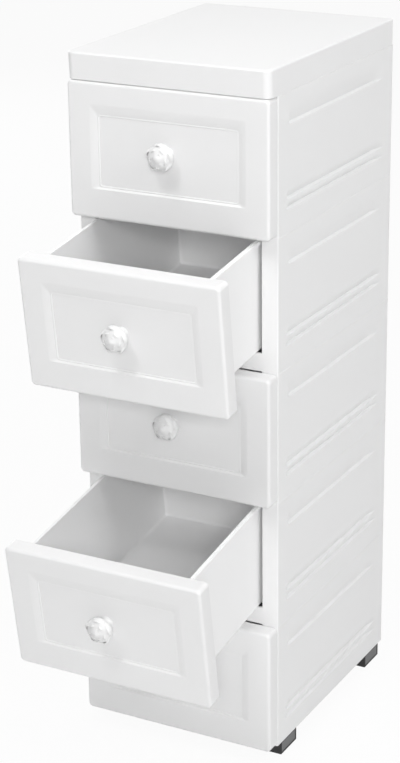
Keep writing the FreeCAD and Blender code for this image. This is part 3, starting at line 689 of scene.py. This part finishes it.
def petal_mesh(name):
    """One cupped petal with rounded edges, on the X side of the knob's axis."""
    loops = []
    for row in range(PETAL_ROWS + 1):
        share = row / PETAL_ROWS
        radius, height = along_profile(PETAL_PROFILE, share)
        in_tip = max((share - PETAL_TIP_START) / (1 - PETAL_TIP_START), 0)
        fullness = math.sqrt(max(1 - in_tip ** 2, 0))
        spread = math.radians(PETAL_SPREAD) * (PETAL_TIP_WIDTH + (1 - PETAL_TIP_WIDTH) * fullness)
        thinning = math.sqrt(max(1 - share ** 4, 0))
        wall = PETAL_WALL * (PETAL_TIP_WALL + (1 - PETAL_TIP_WALL) * thinning)
        loop = []
        for side, columns in ((0.5, range(PETAL_COLUMNS + 1)), (-0.5, range(PETAL_COLUMNS, -1, -1))):
            for column in columns:
                across = 2 * column / PETAL_COLUMNS - 1
                turn = spread * across
                arch = math.cos(across * math.pi / 2)
                skin = wall * side * math.sqrt(max(1 - across ** 4, PETAL_EDGE))
                cup = PETAL_BULGE * arch - PETAL_CURL * (1 - arch)
                out = radius + skin + share * cup
                loop.append((out * math.cos(turn), out * math.sin(turn),
                             height - PETAL_SAG * share * across ** 2))
        loops.append(loop)
    shape = bmesh.new()
    lofted(shape, loops)
    bmesh.ops.remove_doubles(shape, verts=shape.verts, dist=PETAL_SAME_POINT)
    bmesh.ops.recalc_face_normals(shape, faces=shape.faces)
    return mesh_of(shape, name)


def petal_ring_tree():
    """Geometry nodes that set copies of a petal in a ring about the knob's axis."""
    tree = bpy.data.node_groups.new("petal_ring", "GeometryNodeTree")
    sockets = {"Geometry": "NodeSocketGeometry", "Petals": "NodeSocketInt", "Turn": "NodeSocketFloat",
               "Width": "NodeSocketFloat", "Rise": "NodeSocketFloat", "Plastic": "NodeSocketMaterial"}
    named = {name: tree.interface.new_socket(name, in_out="INPUT", socket_type=kind).identifier
             for name, kind in sockets.items()}
    tree.interface.new_socket("Geometry", in_out="OUTPUT", socket_type="NodeSocketGeometry")
    given = tree.nodes.new("NodeGroupInput")
    wire = Wire(tree)
    sizes = {name: Wire(tree, given.outputs[name]) for name in sockets}
    points = wire.node("GeometryNodePoints", {}, {"Count": sizes["Petals"]})
    number = wire.node("GeometryNodeInputIndex")
    step = wire.node("ShaderNodeMath", {"operation": "DIVIDE"}, {0: math.tau, 1: sizes["Petals"]})
    euler = wire.node("ShaderNodeCombineXYZ", {}, {"Z": number * step + sizes["Turn"]})
    turn = wire.node("FunctionNodeEulerToRotation", {}, {0: euler})
    size = wire.node("ShaderNodeCombineXYZ", {}, {"X": sizes["Width"], "Y": sizes["Width"], "Z": 1.0})
    ring = wire.node("GeometryNodeInstanceOnPoints", {},
                     {"Points": points, "Instance": sizes["Geometry"], "Rotation": turn, "Scale": size})
    lift = wire.node("ShaderNodeCombineXYZ", {}, {"Z": sizes["Rise"]})
    lifted = wire.node("GeometryNodeTransform", {}, {"Geometry": ring, "Translation": lift})
    real = wire.node("GeometryNodeRealizeInstances", {}, {"Geometry": lifted})
    painted = wire.node("GeometryNodeSetMaterial", {}, {"Geometry": real, "Material": sizes["Plastic"]})
    result = tree.nodes.new("NodeGroupOutput")
    tree.links.new(painted.socket, result.inputs[0])
    return tree, named


ring_tree, ring_inputs = petal_ring_tree()


def petal_ring(petals, turn, width, rise):
    """The mesh of one ring of petals: how many, their turn in degrees, their share of the full
    width, and how far up the ring lies."""
    piece = put_in_scene("petal_ring_maker", petal_mesh("petal"))
    maker = piece.modifiers.new("ring", "NODES")
    maker.node_group = ring_tree
    for name, value in (("Petals", petals), ("Turn", math.radians(turn)), ("Width", width),
                        ("Rise", rise), ("Plastic", knob_plastic)):
        maker[ring_inputs[name]] = value
    mesh = baked(piece).data
    bpy.data.objects.remove(piece)
    return mesh


KNOB_RINGS = ((RING_PETALS, 90, 1.0, 0), (RING_PETALS, 126, 0.7, 2.9), (INNER_PETALS, 60, 0.44, 4.4))
rings = [petal_ring(*ring) for ring in KNOB_RINGS]
out_of_drawer = Matrix.Rotation(math.radians(90), 4, "X")
for tier in TIERS:
    shape = bmesh.new()
    for mesh in rings:
        shape.from_mesh(mesh)
    turned(shape, STEM_PROFILE, Matrix.Identity(4))
    turned(shape, HEART_PROFILE, Matrix.Identity(4))
    on_front = Matrix.Translation((0, KNOB_SEAT, KNOB_HEIGHT)) @ out_of_drawer
    knob = made(shape, f"flower_knob_{tier}", knob_plastic, in_drawer(tier) @ on_front,
                KNOB_SHARP_ANGLE)
    install(knob, f"drawer_{tier}", "white_knob_plastic", f"knob_{tier}")


def screw_mesh(tier):
    """A pan head with a cross cut into it."""
    shape = bmesh.new()
    turned(shape, SCREW_HEAD, Matrix.Identity(4), segments=SCREW_HEAD_SEGMENTS)
    bmesh.ops.recalc_face_normals(shape, faces=shape.faces)
    head = put_in_scene(f"screw_{tier}", mesh_of(shape, f"screw_{tier}"))
    long, wide, deep = RECESS
    cross = bmesh.new()
    top = SCREW_HEAD[-1][1]
    for half_x, half_y in ((long / 2, wide / 2), (wide / 2, long / 2)):
        slab(cross, (-half_x, half_x), (-half_y, half_y), (top - deep, top + RECESS_OVERCUT))
    bmesh.ops.recalc_face_normals(cross, faces=cross.faces)
    cutter = put_in_scene("recess_cutter", mesh_of(cross, "recess_cutter"))
    recess = head.modifiers.new("recess", "BOOLEAN")
    recess.operation = "DIFFERENCE"
    recess.solver = "EXACT"
    recess.use_self = True
    recess.object = cutter
    mesh = baked(head).data
    bpy.data.objects.remove(head)
    bpy.data.objects.remove(cutter)
    return mesh


# The shank runs through the plate and the boss of the front into the knob.
shank = FRONT_DEPTH - KNOB_SEAT + SCREW_LENGTH
shank_profile = ((SCREW_RADIUS - PIN_EDGE, -shank), (SCREW_RADIUS, PIN_EDGE - shank),
                 (SCREW_RADIUS, SCREW_OVERLAP))
for tier in TIERS:
    shape = bmesh.new()
    shape.from_mesh(screw_mesh(tier))
    turned(shape, shank_profile, Matrix.Identity(4), segments=PIN_SEGMENTS)
    in_plate = Matrix.Translation((0, FRONT_DEPTH, KNOB_HEIGHT)) @ into_drawer
    screw = made(shape, f"knob_screw_steel_{tier}", screw_steel, in_drawer(tier) @ in_plate)
    install(screw, f"drawer_{tier}", "screw_steel", f"knob_screw_{tier}")


# The tower stands on a plain white studio floor, in soft light from above and from beside the
# camera, with a weaker light on its left side and its back.
FLOOR_HALF = 30.0
FLOOR_WHITE = (0.82, 0.82, 0.82, 1)
SEEN_WHITE = 0.94
WORLD_LIGHT = 0.3


def seen(wire):
    """1 where the camera, a reflection or a view through glass looks, and 0 for other light."""
    rays = [wire.node("ShaderNodeLightPath", output=kind)
            for kind in ("Is Camera Ray", "Is Glossy Ray", "Is Transmission Ray")]
    return wire.maths("MAXIMUM", rays[0], wire.maths("MAXIMUM", rays[1], rays[2]))


floor_paint = bpy.data.materials.new("studio_floor")
wire = emptied(floor_paint)
matt = wire.node("ShaderNodeBsdfDiffuse", {}, {"Color": FLOOR_WHITE}, "BSDF")
bright = wire.node("ShaderNodeEmission", {}, {"Color": (1, 1, 1, 1), "Strength": 1.0}, "Emission")
look = wire.node("ShaderNodeMixShader", {}, {0: seen(wire) * SEEN_WHITE, 1: matt, 2: bright})
wire.node("ShaderNodeOutputMaterial", {}, {"Surface": look})
floor_mesh = bpy.data.meshes.new("studio_floor")
floor_mesh.from_pydata([(-FLOOR_HALF, -FLOOR_HALF, 0), (FLOOR_HALF, -FLOOR_HALF, 0),
                        (FLOOR_HALF, FLOOR_HALF, 0), (-FLOOR_HALF, FLOOR_HALF, 0)], [], [(0, 1, 2, 3)])
floor_mesh.materials.append(floor_paint)
put_in_scene("studio_floor", floor_mesh)

world = bpy.data.worlds.new("studio")
wire = emptied(world)
strength = seen(wire) * (1 - WORLD_LIGHT) + WORLD_LIGHT
sky = wire.node("ShaderNodeBackground", {}, {"Color": (1, 1, 1, 1), "Strength": strength},
                "Background")
wire.node("ShaderNodeOutputWorld", {}, {"Surface": sky})
bpy.context.scene.world = world


def lamp(name, place, target, size, energy):
    """A square soft box that faces a target."""
    light = bpy.data.lights.new(name, "AREA")
    light.shape = "SQUARE"
    light.size = size
    light.energy = energy
    holder = put_in_scene(name, light)
    holder.location = place
    holder.rotation_euler = (Vector(target) - Vector(place)).to_track_quat("-Z", "Y").to_euler()


TOWER_MIDDLE = (0, 0, 0.55)
lamp("key_light", (-0.1, -2.4, 3.8), TOWER_MIDDLE, 0.6, 24)
lamp("overhead_light", (0.0, -0.6, 3.6), TOWER_MIDDLE, 2.2, 28)
lamp("high_right_light", (2.6, -0.5, 2.9), TOWER_MIDDLE, 1.6, 34)
lamp("front_right_light", (3.6, -3.2, 2.5), TOWER_MIDDLE, 1.0, 8)
lamp("camera_light", (2.5, -4.5, 2.5), TOWER_MIDDLE, 1.0, 98)
lamp("rear_left_light", (-3.4, 2.6, 1.5), TOWER_MIDDLE, 1.6, 35)

# The camera's place, direction and lens were fitted to the tower's corners in the photograph.
CAMERA_PLACE = (1.2932, -2.37695, 1.53834)
CAMERA_RIGHT = (0.88022301, 0.47439417, -0.01255521)
CAMERA_UP = (-0.15541014, 0.31315428, 0.93690025)
CAMERA_BACK = (0.44839173, -0.82272995, 0.34937127)
CAMERA_LENS = 97.756
CAMERA_SENSOR = 36
lens = bpy.data.cameras.new("camera")
lens.lens = CAMERA_LENS
lens.sensor_width = CAMERA_SENSOR
camera = put_in_scene("camera", lens)
axes = Matrix((CAMERA_RIGHT, CAMERA_UP, CAMERA_BACK)).transposed().to_4x4()
camera.matrix_world = Matrix.Translation(CAMERA_PLACE) @ axes
bpy.context.scene.camera = camera
bpy.context.scene.view_settings.view_transform = "Standard"
